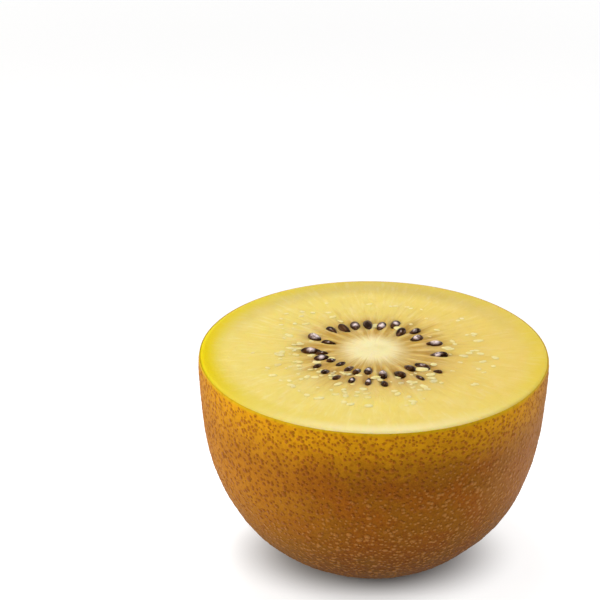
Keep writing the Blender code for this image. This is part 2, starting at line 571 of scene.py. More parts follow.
def skin_relief_weight(fruit, point):
    """1 over most of the outside, fading to 0 at the flat spot, and 0 on the inner wall and the lip."""
    radius, _ = polar(fruit, point)
    outer = side_radius(fruit, fruit.height - point.z)
    if radius < outer - 0.4 * fruit.skin_thickness or point.z > fruit.height - SKIN_LIP_DEPTH:
        return 0.0
    return smooth_step(SKIN_FLAT_MARGIN, SKIN_FULL_RELIEF, point.z)


def skin_ground(tree, place, fruit, skin):
    """The skin's colour between its specks, and its painted gold glow: painted light and sheen at the
    sides, painted shade low down.
    """
    across, _, height = axes(tree, place)
    patches = share_between(tree, grain(tree, place, 5.0 * MM), 0.38, 0.62)
    colour = blend_colour(tree, patches, skin.brown, skin.olive)
    # Painted light: lighter tan on the left, where the light falls.
    left = share_between(tree, across, -3.0 * MM, -23.0 * MM)
    colour = blend_colour(tree, scaled(tree, left, 0.85), colour, skin.left_painted_light)
    low = share_between(tree, height, 23.0 * MM, 3.0 * MM)
    # Painted sheen and light: greyer and paler on the right, less so low down.
    right = share_between(tree, across, 12.0 * MM, 25.0 * MM)
    right = maths(tree, "MULTIPLY", right, scaled(tree, low, -0.50, 0.80))
    colour = blend_colour(tree, right, colour, skin.right_painted_sheen)
    # Painted shade: darker low down, towards the floor.
    colour = blend_colour(tree, scaled(tree, low, 0.95), colour, SKIN_PAINTED_LOW_SHADE, "MULTIPLY")

    # Painted glow: gold below the cut, where light shines out through the skin from the flesh, painted
    # stronger at the front and back than at the far sides.
    level = maths(tree, "ADD", height, centred(tree, grain(tree, place, 3.0 * MM), 5.0 * MM))
    painted_gold_glow = share_between(tree, level, fruit.height - skin.painted_gold_glow_depth, fruit.height + 0.5 * MM)
    middle = share_between(tree, maths(tree, "ABSOLUTE", across), 26.0 * MM, 19.0 * MM)
    painted_gold_glow = maths(tree, "MULTIPLY", painted_gold_glow, scaled(tree, middle, 0.55, 0.45))
    return blend_colour(tree, painted_gold_glow, colour, skin.painted_gold_glow), painted_gold_glow


def skin_material(fruit, skin):
    material, tree, shader = new_material("kiwi_skin")
    place = object_place(tree)
    colour, painted_gold_glow = skin_ground(tree, place, fruit, skin)

    mottle = share_between(tree, grain(tree, place, 1.3 * MM), 0.36, 0.66)
    colour = blend_colour(tree, scaled(tree, mottle, 0.35), colour, SKIN_MOTTLE, "MULTIPLY")
    speck = share_between(tree, cells(tree, place, 0.80 * MM), 0.42, 0.15)
    speck = maths(tree, "MULTIPLY", speck, scaled(tree, painted_gold_glow, 0.40, 0.35))
    colour = blend_colour(tree, speck, colour, SKIN_SPECK, "MULTIPLY")

    fine = grain(tree, place, 0.22 * MM, detail=2.0)
    light = share_between(tree, fine, 0.45, 0.74)
    colour = blend_colour(tree, scaled(tree, light, 0.22), colour, SKIN_PALE_GRAIN)
    dark = share_between(tree, fine, 0.50, 0.26)
    colour = blend_colour(tree, scaled(tree, dark, 0.35), colour, SKIN_DARK_GRAIN, "MULTIPLY")

    # Painted glow: the flesh shines through the very edge, painted yellow over the lip's shade.
    _, _, height = axes(tree, place)
    edge = share_between(tree, height, fruit.height - 0.8 * MM, fruit.height - 0.15 * MM)
    colour = blend_colour(tree, scaled(tree, edge, 0.65), colour, SKIN_EDGE_PAINTED_GLOW)

    normal = bump(tree, grain(tree, place, 0.80 * MM, detail=1.0), 0.16 * MM)
    normal = bump(tree, fine, 0.02 * MM, normal=normal)
    wire(tree, shader, Base_Color=colour, Roughness=scaled(tree, fine, 0.25, 0.45), Normal=normal)
    shader.inputs["Specular IOR Level"].default_value = 0.04
    return material


class KIWI_OT_skin(bpy.types.Operator):
    """Spins the skin, a thin closed shell with its lip at the cut, and gives it its soft unevenness"""

    bl_idname = "kiwi.skin"
    bl_label = "Skin"

    def execute(self, context):
        fruit = context.scene.kiwi_fruit
        skin = spin_profile("skin", skin_profile(fruit), COLUMNS, fruit.depth_share)
        subdivide(skin, SUBDIVISIONS)
        weights = [skin_relief_weight(fruit, vert.co) for vert in skin.data.vertices]
        displace(skin, SKIN_LUMP_SIZE, SKIN_LUMP_RISE, weights)
        displace(skin, SKIN_GRAIN_SIZE, SKIN_GRAIN_RISE, weights)
        skin.data.shade_smooth()
        finish_piece(skin, skin_material(fruit, context.scene.kiwi_skin))
        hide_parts(NODE)
        return {"FINISHED"}


# The corky dots.

DOT_SEGMENTS = 6
DOT_RINGS = 3
DOT_FOOT = 1.15
DOT_LOWEST = 0.5 * MM
DOT_STRAY = 0.34
DOT_CROWDING = 0.6
DOT_CROWDED_DEPTH = 7.0 * MM
DOT_RANDOM_SEED = 11
DOT_PAINTED_LOW_SHADE = (0.48, 0.48, 0.42)
DOT_GRAIN = (0.60, 0.50, 0.45)
GOLDEN_TURN = math.pi * (3 - math.sqrt(5))


def near_cut(fruit, height):
    """0 well below the cut, rising to 1 at it."""
    return smooth_step(fruit.height - DOT_CROWDED_DEPTH, fruit.height, height)


def even_heights(fruit, count):
    """Heights that share the dots out over the skin, from the bottom up, and the dots' spacing."""
    heights = np.linspace(DOT_LOWEST, fruit.height - SKIN_LIP_DEPTH, 400)
    radii = np.array([side_radius(fruit, fruit.height - height) for height in heights])
    strips = np.hypot(np.diff(heights), np.diff(radii)) * 0.5 * (radii[1:] + radii[:-1])
    strips *= [1 + DOT_CROWDING * near_cut(fruit, height) for height in heights[1:]]
    area = np.concatenate([[0.0], np.cumsum(strips)])
    wanted = (np.arange(count) + 0.5) / count * area[-1]
    spacing = math.sqrt(2 * math.pi * area[-1] / count)
    return np.interp(wanted, area, heights), spacing


def dot_places(fruit, skin, surface):
    """A matrix for each dot: spread by the golden turn, then strayed, and laid flat on the skin."""
    chance = random.Random(DOT_RANDOM_SEED)
    heights, spacing = even_heights(fruit, skin.dot_count)
    for number, height in enumerate(heights):
        radius = side_radius(fruit, fruit.height - height)
        angle = number * GOLDEN_TURN + chance.gauss(0.0, DOT_STRAY) * spacing / radius
        height += chance.gauss(0.0, DOT_STRAY) * spacing
        if not DOT_LOWEST < height < fruit.height - SKIN_LIP_DEPTH - skin.dot_size:
            continue
        radius = side_radius(fruit, fruit.height - height)
        start = on_fruit(fruit, radius, angle, height)
        _, point, normal, _ = surface.closest_point_on_mesh(start)
        size = skin.dot_size * chance.lognormvariate(0.10, 0.24)
        size *= 1.15 - 0.2 * near_cut(fruit, height)
        long = chance.uniform(1.0, 1.12)
        rise = 2 * skin.dot_rise * chance.uniform(0.7, 1.3)
        turn = Matrix.Rotation(chance.uniform(0.0, math.pi), 4, "Z")
        scale = Matrix.Diagonal((size * long, size / long, rise, 1.0))
        facing = normal.to_track_quat("Z", "Y").to_matrix().to_4x4()
        yield Matrix.Translation(point) @ facing @ turn @ scale


def dot_model():
    """A closed dome, 1 across and 0.5 high, over a wider foot that the skin hides."""
    deselect_all()
    bpy.ops.mesh.primitive_uv_sphere_add(segments=DOT_SEGMENTS, ring_count=DOT_RINGS, radius=0.5)
    model = bpy.context.object
    for vert in model.data.vertices:
        vert.select = vert.co.z < -0.1
    bpy.ops.object.mode_set(mode="EDIT")
    bpy.ops.transform.resize(value=(DOT_FOOT, DOT_FOOT, 0.4), center_override=(0.0, 0.0, 0.0))
    bpy.ops.object.mode_set(mode="OBJECT")
    return model


def cork_material(fruit, skin):
    """Tan low down and to the right, partly painted highlight; reddish near the cut; painted shade low
    down; the skin's own colour round each dot's foot.
    """
    material, tree, shader = new_material("corky_dots")
    place = object_place(tree)
    ground, painted_gold_glow = skin_ground(tree, place, fruit, skin)
    across, _, height = axes(tree, place)
    varied = grain(tree, place, 0.9 * MM, detail=1.0)
    # Painted highlight in part: the dots are tan low down and to the right, partly their own cork colour
    # and partly light caught on the bumps; reddish near the cut.
    level = maths(tree, "ADD", height, scaled(tree, across, -0.5))
    level = maths(tree, "ADD", level, centred(tree, varied, 30.0 * MM))
    reddish = share_between(tree, level, 17.0 * MM, 27.0 * MM)
    colour = blend_colour(tree, reddish, skin.dot_tan_and_highlight, skin.dot_red)
    # Where the skin has its painted gold glow, the dots stay dark.
    colour = blend_colour(tree, share_between(tree, painted_gold_glow, 0.05, 0.5), colour, skin.dot_dark)
    # Painted shade: the dots are darker low down, as the skin is.
    low = share_between(tree, height, 19.0 * MM, 1.0 * MM)
    colour = blend_colour(tree, scaled(tree, low, 0.8), colour, DOT_PAINTED_LOW_SHADE, "MULTIPLY")
    fine = grain(tree, place, 0.12 * MM, detail=2.0)
    colour = blend_colour(tree, scaled(tree, fine, 0.30), colour, DOT_GRAIN, "MULTIPLY")
    crown = share_between(tree, painted(tree, "crown"), 0.0, 0.5)
    colour = blend_colour(tree, crown, ground, colour)
    normal = bump(tree, fine, 0.02 * MM)
    wire(tree, shader, Base_Color=colour, Roughness=scaled(tree, fine, 0.25, 0.45), Normal=normal)
    shader.inputs["Specular IOR Level"].default_value = 0.06
    return material


class KIWI_OT_dots(bpy.types.Operator):
    """Models one corky dot, a low dome, and spreads copies of it over the skin"""

    bl_idname = "kiwi.dots"
    bl_label = "Corky dots"

    def execute(self, context):
        fruit = context.scene.kiwi_fruit
        skin = context.scene.kiwi_skin
        surface = bpy.data.objects["skin"]
        model = dot_model()
        crown = [max(0.0, 2 * vert.co.z) for vert in model.data.vertices]
        dots = copies_of(model, "corky_dots", dot_places(fruit, skin, surface))
        paint(dots, "crown", np.tile(crown, len(dots.data.vertices) // len(crown)))
        finish_piece(dots, cork_material(fruit, skin))
        return {"FINISHED"}


# The seeds. The flesh needs their places too, for its sockets.

SEED_SEGMENTS = 20
SEED_RINGS = 14
SEED_TAPER = 0.62
SEED_LIGHTER = (0.065, 0.022, 0.004)
SEED_SHINE = (1.0, 0.55, 0.32, 1.0)

# Each seed, judged: degrees round the core from +X, millimetres out, size, share of film and painted
# highlight.
SEED_PLACES = (
    (131, 9.3, 0.90, 0.15), (119, 8.3, 1.05, 0.00), (106, 8.8, 1.15, 0.45), (93, 8.9, 1.15, 0.00),
    (80, 8.4, 0.95, 0.70), (68, 9.8, 0.95, 0.50), (55, 7.5, 0.95, 0.10), (45, 9.2, 0.90, 0.40),
    (31, 7.7, 0.95, 0.70), (14, 9.6, 1.05, 0.90), (-10, 9.6, 1.10, 0.55), (-37, 8.7, 0.95, 0.35),
    (-49, 7.7, 0.95, 0.25), (-66, 8.5, 0.95, 0.05), (-82, 7.9, 1.00, 0.75), (-98, 6.9, 0.85, 0.50),
    (-110, 7.4, 0.85, 0.35), (-121, 7.2, 0.80, 0.15), (-137, 6.8, 0.70, 0.10), (-151, 7.1, 0.70, 0.20),
    (-162, 8.2, 0.90, 0.70), (-173, 7.7, 0.70, 0.15), (181, 9.3, 1.10, 0.60), (159, 7.1, 0.85, 0.05),
    (153, 9.6, 1.05, 0.95), (-38, 11.5, 0.55, 0.00), (-55, 11.2, 0.65, 0.10), (-84, 10.9, 0.75, 0.00),
    (-96, 10.5, 0.75, 0.50), (-109, 10.5, 0.70, 0.40), (-122, 10.5, 0.70, 0.05), (-135, 10.1, 0.75, 0.15),
    (-148, 9.9, 0.60, 0.00),
)
# The pale patch is partly film and partly painted highlight, shifted towards the front where the
# highlight falls.
FILM_AND_HIGHLIGHT_REACH = 0.85 * MM
FILM_AND_HIGHLIGHT_SHIFT = 0.32 * MM
FILM_AND_HIGHLIGHT_LOW = 0.02 * MM
FILM_AND_HIGHLIGHT_FULL = 0.16 * MM


def seed_matrices(fruit, seeds):
    """A matrix for each seed, which points at the core, give or take a little."""
    turns = random.Random(seeds.random_seed)
    leans = random.Random(seeds.random_seed + 1)
    for degrees, out, scale, _ in SEED_PLACES:
        angle = math.radians(degrees)
        turn = angle + turns.uniform(-1, 1) * seeds.turn
        height = fruit.height + (seeds.proud - 0.5 * seeds.thickness) * scale
        place = on_fruit(fruit, out * MM, angle, height)
        tilt = Matrix.Rotation(leans.uniform(-1, 1) * seeds.tilt, 4, "Y")
        roll = Matrix.Rotation(leans.uniform(-1, 1) * seeds.tilt, 4, "X")
        long = scale * leans.uniform(0.95, 1.15)
        wide = scale * leans.uniform(0.95, 1.2)
        size = Matrix.Diagonal((long, wide, scale, 1.0))
        yield Matrix.Translation(place) @ Matrix.Rotation(turn, 4, "Z") @ tilt @ roll @ size


def film_and_highlight_shares(fruit, piece):
    """How much pale film and painted highlight lies at each vertex of the seeds: a round patch nudged
    towards the front, clear of the flesh.
    """
    points = np.array([vert.co for vert in piece.data.vertices])
    shares = []
    for seed, (_, _, scale, cover) in zip(np.split(points, len(SEED_PLACES)), SEED_PLACES):
        middle_x, middle_y, _ = 0.5 * (seed.min(axis=0) + seed.max(axis=0))
        middle_y -= FILM_AND_HIGHLIGHT_SHIFT * scale * (1 - cover)
        for x, y, z in seed:
            away = math.hypot(x - middle_x, y - middle_y) / (FILM_AND_HIGHLIGHT_REACH * scale)
            patch = 1 - smooth_step(0.4 * cover, cover + 0.1, away) if cover else 0.0
            shares.append(patch * smooth_step(FILM_AND_HIGHLIGHT_LOW, FILM_AND_HIGHLIGHT_FULL, z - fruit.height))
    return shares


def seed_material(seeds):
    material, tree, shader = new_material("seed_coat")
    place = object_place(tree)
    tone = share_between(tree, grain(tree, place, 1.6 * MM), 0.38, 0.66)
    colour = blend_colour(tree, tone, seeds.colour, SEED_LIGHTER)
    broken = share_between(tree, grain(tree, place, 0.5 * MM), 0.38, 0.52)
    # Painted highlight in part: the pale film patches on the seeds.
    film_and_highlight = maths(tree, "MULTIPLY", painted(tree, "film_and_highlight"), scaled(tree, broken, 0.8, 0.2))
    colour = blend_colour(tree, film_and_highlight, colour, seeds.film_and_highlight)
    pits = cells(tree, place, 0.16 * MM)
    normal = bump(tree, pits, 0.012 * MM, 0.6)
    wire(tree, shader, Base_Color=colour, Roughness=scaled(tree, tone, 0.12, 0.22), Normal=normal)
    shader.inputs["Specular IOR Level"].default_value = 0.25
    shader.inputs["Specular Tint"].default_value = SEED_SHINE
    return material


class KIWI_OT_seeds(bpy.types.Operator):
    """Models one seed, a flattened drop, and sets copies of it into the flesh, narrow end to the core"""

    bl_idname = "kiwi.seeds"
    bl_label = "Seeds"

    def execute(self, context):
        fruit = context.scene.kiwi_fruit
        seeds = context.scene.kiwi_seeds
        deselect_all()
        bpy.ops.mesh.primitive_uv_sphere_add(
            segments=SEED_SEGMENTS, ring_count=SEED_RINGS, radius=0.5, rotation=(0.0, 0.5 * math.pi, 0.0)
        )
        model = settle(bpy.context.object)
        taper = model.modifiers.new("taper", "SIMPLE_DEFORM")
        taper.deform_method = "TAPER"
        taper.deform_axis = "X"
        taper.factor = SEED_TAPER
        apply_modifier(model, taper)
        model.scale = (seeds.length, seeds.width, seeds.thickness)
        settle(model)
        piece = copies_of(model, "seeds", seed_matrices(fruit, seeds))
        paint(piece, "film_and_highlight", film_and_highlight_shares(fruit, piece))
        finish_piece(piece, seed_material(seeds))
        return {"FINISHED"}


# The flesh.

FLESH_OVERLAP = 0.16 * MM
FACE_RINGS = 24
RIM_RINGS = 4
FIBRE_RISE = 0.05 * MM
FIBRE_TURNS = 16.0
FIBRE_LENGTH = 2.4 * MM
SWELL_RISE = 0.10 * MM
SWELL_SIZE = 4.0 * MM
SOCKET_DEPTH = 0.12 * MM
SOCKET_REACH = 1.35
SOCKETS_END = 14.5 * MM
CHAMBER_WALL = (0.86, 0.66, 0.22)
SOCKET_STAIN = (0.42, 0.20, 0.04)
FIBRE_DIP = (0.62, 0.38, 0.06)
FLESH_OLIVE = (0.72, 0.52, 0.08)
FLESH_WARMTH = (0.97, 0.90, 0.84)
FLESH_DULLNESS = (0.80, 0.77, 0.82)
FLESH_TAN = (0.87, 0.78, 0.82)


def flesh_profile(fruit):
    """The flesh's section: over the cut face, round the rim, and down inside the skin to the axis."""
    inset = fruit.skin_thickness - FLESH_OVERLAP
    edge = side_radius(fruit, fruit.rim_drop) - inset
    flat = edge - fruit.rim_rounding
    points = [(flat * i / FACE_RINGS, fruit.height) for i in range(FACE_RINGS + 1)]
    for i in range(1, RIM_RINGS + 1):
        turn = fruit.rim_turn * i / RIM_RINGS
        out = fruit.rim_rounding * math.sin(turn) / math.sin(fruit.rim_turn)
        drop = fruit.rim_drop * (1 - math.cos(turn)) / (1 - math.cos(fruit.rim_turn))
        points.append((flat + out, fruit.height - drop))
    below = side_points(fruit, 2.5 * fruit.rim_drop, INNER_RINGS, inset=inset)
    bottom = fruit.scar_depth + 0.5 * fruit.skin_thickness
    points += [(radius, max(height, 0.7 * fruit.skin_thickness)) for radius, height in below]
    return points + [(fruit.scar_radius, bottom), (0.0, bottom)]


def socket_share(seeds, radius, angle):
    """How deep in a seed's socket this place is, from 0 outside it to 1 under the seed."""
    deepest = 0.0
    if radius > SOCKETS_END:
        return deepest
    for degrees, out, scale, _ in SEED_PLACES:
        across = radius * math.sin(angle - math.radians(degrees))
        along = radius * math.cos(angle - math.radians(degrees)) - out * MM
        if abs(along) > 2 * seeds.length or abs(across) > 2 * seeds.width:
            continue
        reach = math.hypot(along / (0.5 * seeds.length), across / (0.5 * seeds.width)) / scale
        deepest = max(deepest, 1 - smooth_step(0.7, 2 * SOCKET_REACH - 0.7, reach))
    return deepest


def face_relief(fruit, flesh, seeds, radius, angle, socket):
    """How far the cut face stands above its plane here."""
    rise = 0.0
    if radius < flesh.core_radius:
        rise += flesh.core_rise * (1 - (radius / flesh.core_radius) ** 2)
    if flesh.core_radius < radius < flesh.wall_end:
        along = (radius - flesh.core_radius) / (flesh.wall_end - flesh.core_radius)
        rise += flesh.wall_rise * math.sin(math.pi * along) * math.cos(seeds.chambers * angle)
    around = Vector((math.cos(angle), math.sin(angle), 0.0))
    fade = smooth_step(2.0 * MM, 6.0 * MM, radius)
    fibres = noise.noise(around * FIBRE_TURNS + Vector((0.0, 0.0, radius / FIBRE_LENGTH)))
    swell = noise.noise(around * radius / SWELL_SIZE)
    return rise + fade * FIBRE_RISE * fibres + SWELL_RISE * swell - SOCKET_DEPTH * socket


def shape_cut_face(piece, fruit, flesh, seeds):
    """Raises the core, the chamber walls and the fibres, and sinks a socket round each seed."""
    flat = side_radius(fruit, fruit.rim_drop) - fruit.skin_thickness - fruit.rim_rounding
    sockets = np.zeros(len(piece.data.vertices))
    for vert in piece.data.vertices:
        radius, angle = polar(fruit, vert.co)
        if vert.co.z < fruit.height - 0.1 * MM or radius > flat + 0.3 * MM:
            continue
        socket = socket_share(seeds, radius, angle)
        sockets[vert.index] = socket
        fade = 1 - smooth_step(flat - 2.0 * MM, flat, radius)
        vert.co.z += fade * face_relief(fruit, flesh, seeds, radius, angle, socket)
    paint(piece, "socket", sockets)


def flesh_material(fruit, flesh, seeds):
    material, tree, shader = new_material("kiwi_flesh")
    place = object_place(tree)
    flat = vector_maths(tree, "MULTIPLY", place, (1 / MM, 1 / MM / fruit.depth_share, 0.0))
    radius = length_of(tree, flat)
    outward = vector_maths(tree, "NORMALIZE", flat)
    right, back, _ = axes(tree, outward)
    angle = maths(tree, "ARCTAN2", back, right)

    def streaks(turns, length, detail=3.0):
        """Noise drawn out along the radius: so many cells to a turn over 2 pi, each this long in mm."""
        spread = vector_maths(tree, "MULTIPLY", outward, (turns, turns, turns))
        along = maths(tree, "DIVIDE", radius, length)
        lift = node(tree, "ShaderNodeCombineXYZ", [("Z", along)]).outputs[0]
        vector = vector_maths(tree, "ADD", spread, lift)
        inputs = [("Vector", vector), ("Scale", 1.0), ("Detail", detail)]
        return node(tree, "ShaderNodeTexNoise", inputs).outputs["Fac"]

    # The pale core frays into the chambers, and the chambers into the flesh.
    thin_rays = maths(tree, "ADD", radius, centred(tree, streaks(15.0, 8.0), 3.2))
    wide_rays = maths(tree, "ADD", radius, centred(tree, streaks(8.0, 20.0), 8.0))
    core = share_between(tree, thin_rays, 2.4, 6.2)
    colour = blend_colour(tree, core, flesh.core_colour, flesh.chamber_colour)
    colour = blend_colour(tree, share_between(tree, wide_rays, 7.5, 13.5), colour, flesh.flesh_colour)

    # Paler walls stand between the chambers, and the flesh is stained round each seed.
    walls = share_between(tree, maths(tree, "COSINE", scaled(tree, angle, seeds.chambers)), 0.1, 1.0)
    inner = share_between(tree, thin_rays, 4.0, 7.0)
    outer = share_between(tree, wide_rays, 13.0, 8.5)
    walls = maths(tree, "MULTIPLY", walls, maths(tree, "MULTIPLY", inner, outer))
    colour = blend_colour(tree, scaled(tree, walls, 0.50), colour, CHAMBER_WALL)
    socket = scaled(tree, painted(tree, "socket"), 0.32)
    colour = blend_colour(tree, socket, colour, SOCKET_STAIN)

    # Fine fibres, pale and dark, run outwards.
    threads = share_between(tree, streaks(34.0, 3.0), 0.50, 0.74)
    colour = blend_colour(tree, scaled(tree, threads, 0.34), colour, flesh.core_colour)
    dips = share_between(tree, streaks(26.0, 5.0), 0.48, 0.28)
    near = share_between(tree, radius, 22.0, 6.0)
    clear = share_between(tree, radius, 3.0, 6.0)
    dips = maths(tree, "MULTIPLY", maths(tree, "MULTIPLY", dips, clear), scaled(tree, near, 0.45, 0.08))
    colour = blend_colour(tree, dips, colour, FIBRE_DIP)

    # Patches a little paler and a little more olive make it uneven.
    clouds = share_between(tree, grain(tree, place, 3.0 * MM), 0.45, 0.70)
    colour = blend_colour(tree, scaled(tree, clouds, 0.16), colour, flesh.core_colour)
    olive = share_between(tree, grain(tree, place, 2.2 * MM), 0.48, 0.28)
    colour = blend_colour(tree, scaled(tree, olive, 0.16), colour, FLESH_OLIVE)

    # It is warmer on the right, duller at the back, and tanner round the chambers.
    beyond = share_between(tree, radius, 9.0, 14.0)
    warm = maths(tree, "MULTIPLY", maths(tree, "MAXIMUM", right, 0.0), beyond)
    colour = blend_colour(tree, warm, colour, FLESH_WARMTH, "MULTIPLY")
    backwards = maths(tree, "MAXIMUM", back, 0.0)
    dull = maths(tree, "MULTIPLY", backwards, share_between(tree, radius, 19.0, 23.0))
    colour = blend_colour(tree, dull, colour, FLESH_DULLNESS, "MULTIPLY")
    forwards = maths(tree, "MAXIMUM", scaled(tree, back, -1.0), 0.0)
    tanned = share_between(tree, radius, 18.0, 11.0)
    tanned = maths(tree, "MULTIPLY", share_between(tree, radius, 7.0, 10.0), tanned)
    tanned = maths(tree, "MULTIPLY", tanned, scaled(tree, forwards, 0.65, 0.35))
    colour = blend_colour(tree, tanned, colour, FLESH_TAN, "MULTIPLY")

    # The flesh is a clear lemon next to the skin, painted strongest on the left where light shines
    # through, and cream at the front, a painted highlight.
    leftwards = maths(tree, "MAXIMUM", scaled(tree, right, -1.0), 0.0)
    straight_on = maths(tree, "POWER", forwards, 4.0)
    strength = maths(tree, "ADD", scaled(tree, leftwards, 0.50, 0.50), scaled(tree, straight_on, -0.44))
    strength = maths(tree, "ADD", strength, scaled(tree, backwards, -0.25))
    rim = share_between(tree, radius, 21.5, 25.0)
    colour = blend_colour(tree, maths(tree, "MULTIPLY", rim, strength), colour, flesh.rim_colour)
    # Painted highlight: the rounded rim at the front catching the light, painted cream.
    painted_rim_highlight = maths(tree, "MULTIPLY", share_between(tree, radius, 22.8, 25.0), straight_on)
    colour = blend_colour(tree, scaled(tree, painted_rim_highlight, 0.7), colour, flesh.core_colour)

    wet = grain(tree, place, 0.9 * MM)
    normal = bump(tree, streaks(60.0, 1.0), 0.05 * MM)
    normal = bump(tree, cells(tree, place, 0.45 * MM), 0.03 * MM, normal=normal)
    dry_edge = scaled(tree, share_between(tree, radius, 23.5, 25.2), 0.25)
    roughness = maths(tree, "ADD", scaled(tree, wet, 0.30, 0.48), dry_edge)
    wire(tree, shader, Base_Color=colour, Roughness=roughness, Normal=normal)
    shader.inputs["Subsurface Weight"].default_value = 0.7
    shader.inputs["Subsurface Radius"].default_value = (1.0, 0.7, 0.25)
    shader.inputs["Subsurface Scale"].default_value = 0.7 * MM
    shader.inputs["Specular IOR Level"].default_value = 0.12
    return material


class KIWI_OT_flesh(bpy.types.Operator):
    """Spins the flesh, a closed solid inside the skin, and shapes the cut face"""

    bl_idname = "kiwi.flesh"
    bl_label = "Flesh"

    def execute(self, context):
        fruit = context.scene.kiwi_fruit
        flesh = context.scene.kiwi_flesh
        seeds = context.scene.kiwi_seeds
        piece = spin_profile("flesh", flesh_profile(fruit), COLUMNS, fruit.depth_share)
        subdivide(piece, SUBDIVISIONS)
        shape_cut_face(piece, fruit, flesh, seeds)
        piece.data.shade_smooth()
        finish_piece(piece, flesh_material(fruit, flesh, seeds))
        return {"FINISHED"}


# The beads of juice.

BEAD_SEGMENTS = 10
BEAD_RINGS = 6
BEAD_UNEVENNESS = 0.07
BEAD_NEAREST = 9.0 * MM
BEAD_FURTHEST = 18.5 * MM
BEAD_MOSTLY_TOWARDS = math.radians(-110.0)
BEAD_GATHERING = 0.75
BEAD_RANDOM_SEED = 23
BEAD_WIDTHS = (0.35, 0.90)
BEAD_DEEPER = (0.98, 0.77, 0.28)

# Larger pale pads between the seeds, partly wet flesh and partly painted highlight: degrees round the
# core, millimetres out, and size.
GEL_PLACES = (
    (87, 8.6, 1.3), (61, 8.5, 1.2), (-44, 9.5, 1.5), (-30, 10.0, 1.0), (-157, 6.8, 1.0), (-90, 9.3, 0.9),
    (3, 11.0, 1.1), (-116, 8.9, 0.8),
)


def bead_matrices(fruit, flesh, seeds, surface):
    """Beads of juice clear of the seeds, thinner on the ground further out, most of them on one side."""
    chance = random.Random(BEAD_RANDOM_SEED)
    spots = [(math.radians(degrees), out * MM, size * MM) for degrees, out, size in GEL_PLACES]
    while len(spots) < flesh.bead_count:
        angle = chance.vonmisesvariate(BEAD_MOSTLY_TOWARDS, BEAD_GATHERING)
        radius = BEAD_NEAREST + (BEAD_FURTHEST - BEAD_NEAREST) * chance.random() ** 1.25
        if socket_share(seeds, radius, angle) < 0.3:
            spots.append((angle, radius, chance.uniform(*BEAD_WIDTHS) * MM))
    for angle, radius, width in spots:
        start = on_fruit(fruit, radius, angle, fruit.height)
        _, point, _, _ = surface.closest_point_on_mesh(start)
        turn = Matrix.Rotation(chance.gauss(0.0, 0.5) + chance.choice((0.0, math.pi)), 4, "Z")
        size = Matrix.Diagonal((width * chance.uniform(1.0, 2.2), width, 0.15 * width, 1.0))
        yield Matrix.Translation(point) @ turn @ size


def juice_and_glint_material(flesh):
    material, tree, shader = new_material("juice")
    place = object_place(tree)
    tone = share_between(tree, grain(tree, place, 0.7 * MM), 0.35, 0.65)
    # Painted glints in part: the beads' pale cream stands for the sparkle of light on wet flesh as well
    # as for juice.
    colour = blend_colour(tree, tone, flesh.bead_colour_and_glint, BEAD_DEEPER)
    normal = bump(tree, tone, 0.04 * MM)
    wire(tree, shader, Base_Color=colour, Roughness=scaled(tree, tone, 0.15, 0.40), Normal=normal)
    shader.inputs["Specular IOR Level"].default_value = 0.2
    shader.inputs["Subsurface Weight"].default_value = 0.4
    shader.inputs["Subsurface Radius"].default_value = (1.0, 0.8, 0.4)
    shader.inputs["Subsurface Scale"].default_value = 0.4 * MM
    return material


class KIWI_OT_beads(bpy.types.Operator):
    """Models one bead of juice and lays copies of it on the cut face"""

    bl_idname = "kiwi.beads"
    bl_label = "Juice beads"

    def execute(self, context):
        fruit = context.scene.kiwi_fruit
        flesh = context.scene.kiwi_flesh
        seeds = context.scene.kiwi_seeds
        surface = bpy.data.objects["flesh"]
        deselect_all()
        bpy.ops.mesh.primitive_uv_sphere_add(segments=BEAD_SEGMENTS, ring_count=BEAD_RINGS, radius=0.5)
        bpy.ops.object.mode_set(mode="EDIT")
        bpy.ops.transform.vertex_random(offset=BEAD_UNEVENNESS, seed=BEAD_RANDOM_SEED)
        bpy.ops.object.mode_set(mode="OBJECT")
        beads = copies_of(bpy.context.object, "juice_beads", bead_matrices(fruit, flesh, seeds, surface))
        finish_piece(beads, juice_and_glint_material(flesh))
        return {"FINISHED"}


# The stem scar.

SCAR_COLUMNS = 40
SCAR_CRACKS = 11
SCAR_CRACK_DEPTH = 0.06 * MM
SCAR_DARK = (0.16, 0.075, 0.028)
SCAR_LIGHT = (0.40, 0.22, 0.10)


def scar_profile(fruit):
    """The scar's section: a domed corky stub in a ring, sunk in the skin's dimple."""
    radius = 0.74 * fruit.scar_radius
    low = 0.12 * MM
    top = fruit.scar_depth + 0.15 * MM
    points = [(0.0, 2.4 * low), (0.28 * radius, 2.0 * low), (0.50 * radius, 2.2 * low)]
    points += [(0.60 * radius, 3.6 * low), (0.72 * radius, 3.2 * low), (0.86 * radius, 1.6 * low)]
    return points + [(radius, 3.4 * low), (1.04 * radius, top), (0.0, top)]


def scar_material():
    material, tree, shader = new_material("stem_scar")
    place = object_place(tree)
    tone = share_between(tree, grain(tree, place, 0.5 * MM), 0.30, 0.70)
    colour = blend_colour(tree, tone, SCAR_DARK, SCAR_LIGHT)
    normal = bump(tree, grain(tree, place, 0.25 * MM), 0.06 * MM)
    wire(tree, shader, Base_Color=colour, Roughness=scaled(tree, tone, 0.2, 0.7), Normal=normal)
    return material


